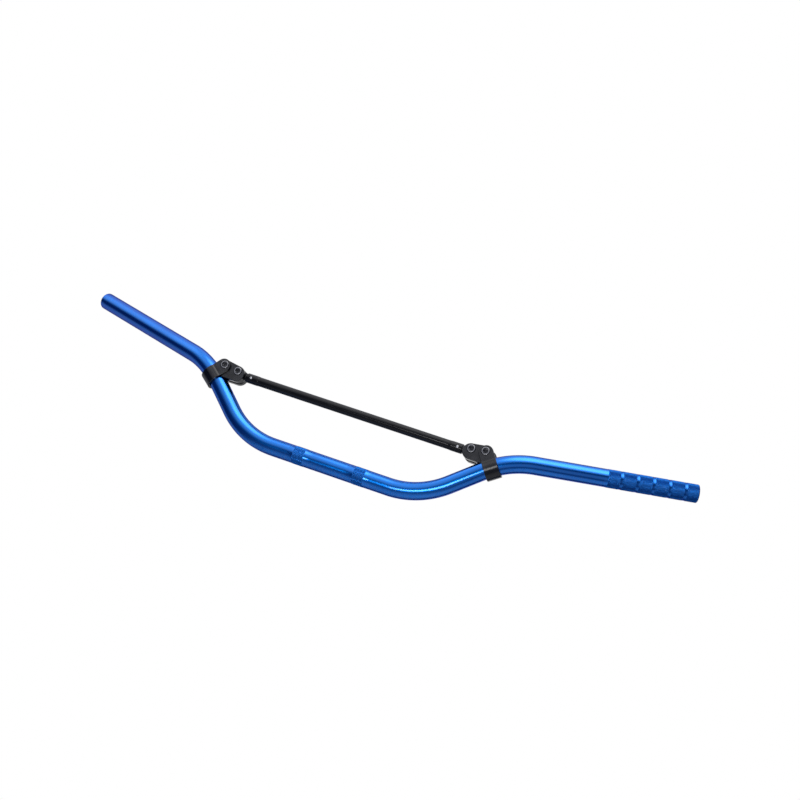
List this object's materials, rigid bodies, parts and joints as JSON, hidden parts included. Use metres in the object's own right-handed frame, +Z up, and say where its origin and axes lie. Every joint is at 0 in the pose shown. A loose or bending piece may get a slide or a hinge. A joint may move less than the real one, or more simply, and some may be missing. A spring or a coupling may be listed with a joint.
{
  "type": "motocross handlebar",
  "caption": "One-piece bent aluminium motocross handlebar with knurled clamp and grip bands, braced by a crossbar bolted between two clamped brackets.",
  "frame": {"origin": "centre of the clamp section, on the tube's centre line midway between the two knurled clamp bands", "axes": "+X along the bar's width towards the end with the knurled grip section; +Z up, the way the risers climb; +Y backwards, the way both grips sweep. +X is also the longest extent"},
  "size_m": [0.8409, 0.1087, 0.1543],
  "materials": {
    "blue_anodised": "bright blue anodised, duller on the knurled bands",
    "black_anodised": "satin black anodised",
    "black_steel": "blackened steel screws, nuts and pins"
  },
  "bodies": {
    "root": {"handlebar_tube": "blue_anodised", "crossbar_tube": "black_anodised", "left_clamp_strap": "black_anodised", "left_clamp_block": "black_anodised", "left_crossbar_end": "black_anodised", "left_crossbar_pin": "black_steel", "left_clamp_bolt": "black_steel", "left_clamp_nut": "black_steel", "left_pivot_bolt": "black_steel", "left_pivot_nut": "black_steel", "right_clamp_strap": "black_anodised", "right_clamp_block": "black_anodised", "right_crossbar_end": "black_anodised", "right_crossbar_pin": "black_steel", "right_clamp_bolt": "black_steel", "right_clamp_nut": "black_steel", "right_pivot_bolt": "black_steel", "right_pivot_nut": "black_steel"}
  },
  "joints": []
}
